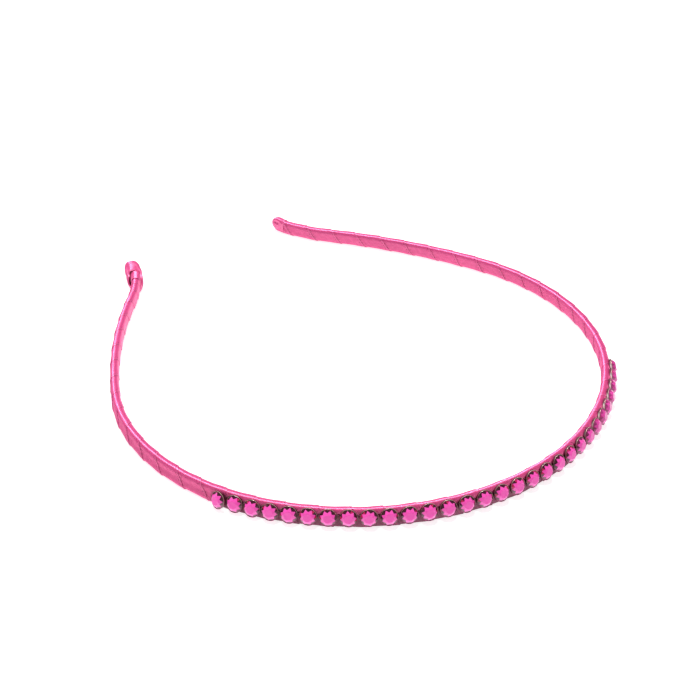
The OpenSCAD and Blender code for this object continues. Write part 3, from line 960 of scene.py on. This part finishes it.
def link_mesh(half):
    """A flat bar with rounded long edges, a slight arch and a slight waist."""
    section = [(-0.45, 0.02), (-0.41, 0.0), (0.41, 0.0), (0.45, 0.02), (0.45, 0.10),
               (0.40, 0.14), (0.20, 0.15), (-0.20, 0.15), (-0.40, 0.14), (-0.45, 0.10)]
    points, steps = [], 6
    for k in range(steps + 1):
        x = half * (2 * k / steps - 1)
        middle = 1 - (x / half) ** 2  # 1 in the middle, 0 at the ends
        arch, narrow = LINK_ARCH * middle, 1 - LINK_WAIST * middle
        points += [(x, up * narrow, high + arch) for up, high in section]
    n = len(section)
    faces = ring_faces(steps + 1, n)
    faces += [tuple(range(n)), tuple(steps * n + j for j in range(n))]
    return points, faces, [[0.0] * len(points)] * 3


# the cups whose walls get the painted glare
GLARE_FROM = (22, 26)  # numbers of the cups between which the walls turn pale
LINK_GAP, SHORTEST_LINK = 4.16, 0.12  # a link reaches a little under both cups' feet

chain_points, chain_faces = [], []
chain_masks = {"crest_highlight": [], "rim_reflection": [], "wall_glare_mask": []}
for number in range(1, STONES + 1):
    s, lift, turned, sag = stone_place(number)
    parts = [(cup_mesh(ease(number, *GLARE_FROM)), (s, CUP_OUT + lift, turned, sag))]
    if number < STONES:
        step = stone_place(number + 1)[0] - s
        apart = step * (ARCS[0][0] + CUP_OUT) / ARCS[0][0]
        link = link_mesh(max((apart - LINK_GAP) / 2, SHORTEST_LINK))
        parts.append((link, (s + step / 2, CUP_OUT, 0.0, sag)))
    for (points, faces, masks), place in parts:
        first = len(chain_points)
        chain_points += standing(points, *place).tolist()
        chain_faces += [tuple(first + v for v in face) for face in faces]
        for collected, values in zip(chain_masks.values(), masks):
            collected += values

chain = make_piece("pressed_cup_chain", chain_points, chain_faces, cup_metal)
paint(chain, chain_masks)
edit_mesh(chain)
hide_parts("cup_chain")
report(chain)

# %% [markdown]
# ## The stones
# Each stone has a flat octagonal table, eight triangles and eight kites that make a star round
# it, and thirty-two small facets between the star and the girdle. Every edge is bevelled by a
# few hundredths of a millimetre, because it's those narrow bevels that flash on a real stone.
# All thirty are cut alike. They differ in the turn they were pressed in with, as real ones do,
# and in the random part of their painted light and shade.

# %% Stones
GIRDLE_R, TIP_R, TABLE_R, BACK_R = 2.09, 1.95, 1.08, 2.00
GIRDLE_HIGH, TABLE_HIGH = 0.56, 1.50
STAR = 8
KITE_SHARE = 0.465
# painted shade: how far the facets are dimmed, as the row turns away
LIT_DIM, GIRDLE_DIM = (0.05, 0.50), (0.45, 0.95)  # how far facets even out at the right end
GIRDLE_EDGE = 0.06  # the height of the narrow band at the girdle
STONE_BEVEL = 0.028
DIM_FROM = (20, 26)  # numbers of the stones between which the contrast goes


def stone_points():
    half = math.pi / STAR
    side_r = KITE_SHARE * (TABLE_R + GIRDLE_R)
    slope = (TABLE_HIGH - GIRDLE_HIGH) / (GIRDLE_R - TABLE_R)
    side_high = TABLE_HIGH - slope * (side_r * math.cos(half) - TABLE_R)
    tip_high = TABLE_HIGH - slope * (TIP_R - TABLE_R)
    rings = (  # count, radius, height, where the first point is
        (STAR, TABLE_R, TABLE_HIGH, 0.0), (STAR, side_r, side_high, half),
        (STAR, TIP_R, tip_high, 0.0), (2 * STAR, GIRDLE_R, GIRDLE_HIGH, 0.0),
        (2 * STAR, GIRDLE_R, GIRDLE_HIGH - GIRDLE_EDGE, 0.0), (2 * STAR, BACK_R, 0.0, 0.0))
    turns = [(r, z, start + 2 * math.pi * k / n) for n, r, z, start in rings for k in range(n)]
    return [(r * math.cos(turn), r * math.sin(turn), z) for r, z, turn in turns]


def stone_faces():
    """Faces with their kind. The numbering follows the rings of stone_points."""
    n = STAR
    side, tip, girdle, edge, back = n, 2 * n, 3 * n, 5 * n, 7 * n
    faces = [(tuple(range(n)), TABLE), (tuple(back + k for k in range(2 * n)), BACK)]
    for k in range(n):
        after, before = (k + 1) % n, (k - 1) % n
        here, odd, last_odd = girdle + 2 * k, girdle + 2 * k + 1, girdle + (2 * k - 1) % (2 * n)
        faces += [((k, after, side + k), KITE), ((k, side + before, tip + k, side + k), KITE)]
        faces += [(face, GIRDLE) for face in (
            (side + k, tip + k, odd), (side + k, odd, tip + after),
            (tip + k, here, odd), (tip + k, last_odd, here))]
    for k in range(2 * n):
        m = (k + 1) % (2 * n)
        faces += [((high + k, high + m, low + m, low + k), BACK)
                  for high, low in ((girdle, edge), (edge, back))]
    return faces


FACET_MASKS = ("facet_kind", "facet_shade", "facet_fire", "facet_dim")


def bevel_and_shade(bm):
    """Gives each facet of the stone of this number its painted shades, then bevels the stone's
    edges.
    """
    kind, tone, fire, dim = (bm.faces.layers.float.get(name) for name in FACET_MASKS)
    dimmed = float(ease(number, *DIM_FROM))
    bmesh.ops.recalc_face_normals(bm, faces=bm.faces)
    for face in bm.faces:
        up = face.normal.z
        # painted shade: facets that face up are darker, those that face down lighter, with a
        # random part
        face[tone] = min(1.0, max(0.0, 0.40 - 0.85 * up + chance.uniform(-0.25, 0.25)))
        at_girdle = abs(face[kind] - GIRDLE) < 0.1
        # painted shade that evens the facets out towards the right end
        face[dim] = dimmed * chance.uniform(*(GIRDLE_DIM if at_girdle else LIT_DIM))
        # painted red flash on a quarter of the girdle facets that face up
        face[fire] = 1.0 if at_girdle and up > 0.1 and chance.random() < 0.25 else 0.0
    sharp = [edge for edge in bm.edges if edge.calc_face_angle() > math.radians(3)]
    bmesh.ops.bevel(bm, geom=sharp, offset=STONE_BEVEL * MM, segments=2, profile=0.6,
                    affect="EDGES")


cut_points = np.array(stone_points())
cut_faces, kinds = zip(*stone_faces())
for number in range(1, STONES + 1):
    s, lift, turned, sag = stone_place(number)
    spin = math.radians(90 + STONE_SPIN * math.sin(math.radians(SPIN_STEP * number)))
    x, y, z = cut_points.T
    spun = np.stack([x * math.cos(spin) - y * math.sin(spin),
                     x * math.sin(spin) + y * math.cos(spin), z], axis=1)
    placed = standing(spun, s, STONE_OUT + lift, turned, sag)
    stone = make_piece(f"cut_stone_{number:02d}", placed, cut_faces, stone_glass, smooth=False)
    paint(stone, {name: kinds if name == "facet_kind" else [0.0] * len(kinds)
                  for name in FACET_MASKS}, domain="FACE")
    edit_mesh(stone, bevel_and_shade)
    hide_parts(f"stone_{number:02d}")
report(stone)

# %% [markdown]
# ## Table and light
# The photograph was taken on a white table that melts into a white background, with one large
# light above and behind. That light draws the pale line along the band's top edge. A wide, dim
# one stands in for the backdrop, which the satin mirrors as a paler strip. The table sends light
# up into the faces that look at the camera, and glows a little, which keeps the shadows pale.

# %% Table
TABLE_WHITE, TABLE_GLOW = 0.58, 0.78
TABLE_HALF = 3.0  # metres
BELOW_BAND = 0.03  # a hair's breadth, so that the table and the ribbon's foot don't fight

table_material, w, shader = new_material("white_table")
position = w.add("ShaderNodeTexCoord").outputs["Object"]
shade = varied(w, position, size=3.0, amount=0.01)
w.feed(w.shaded((TABLE_WHITE, TABLE_WHITE, TABLE_WHITE, 1.0), shade), shader["Base Color"])
w.feed_all({"Roughness": 0.7, "Specular IOR Level": 0.2, "Emission Color": (1.0, 1.0, 1.0, 1.0),
            "Emission Strength": TABLE_GLOW}, shader)

corners = [(x * TABLE_HALF, y * TABLE_HALF, 0) for x, y in ((-1, -1), (1, -1), (1, 1), (-1, 1))]
table_mesh = bpy.data.meshes.new("white_table")
table_mesh.from_pydata(corners, [], [(0, 1, 2, 3)])
table_mesh.materials.append(table_material)
table = add_object("white_table", table_mesh, at=(0.0, 0.0, -BELOW_BAND * MM))

# %% Lights
def softbox(name, spot, width, height, watts):
    """A flat white light that looks at the headband's middle. Metres and watts."""
    light = bpy.data.lights.new(name, "AREA")
    light.shape = "RECTANGLE"
    light.size, light.size_y, light.energy = width, height, watts
    add_object(name, light, spot, looks_at=(0.0, 0.0, 0.0))
    print(name, watts, "W")


softbox("top_softbox", (0.06, 0.33, 1.28), width=0.40, height=0.40, watts=21.0)
softbox("white_backdrop", (0.0, 1.6, 0.65), width=2.4, height=1.2, watts=5.8)

world = bpy.data.worlds.new("studio_air")
world.use_nodes = True
air = world.node_tree.nodes["Background"].inputs
air["Color"].default_value = (1.0, 1.0, 1.0, 1.0)
air["Strength"].default_value = 0.33
bpy.context.scene.world = world
bpy.context.scene.view_settings.view_transform = "Standard"
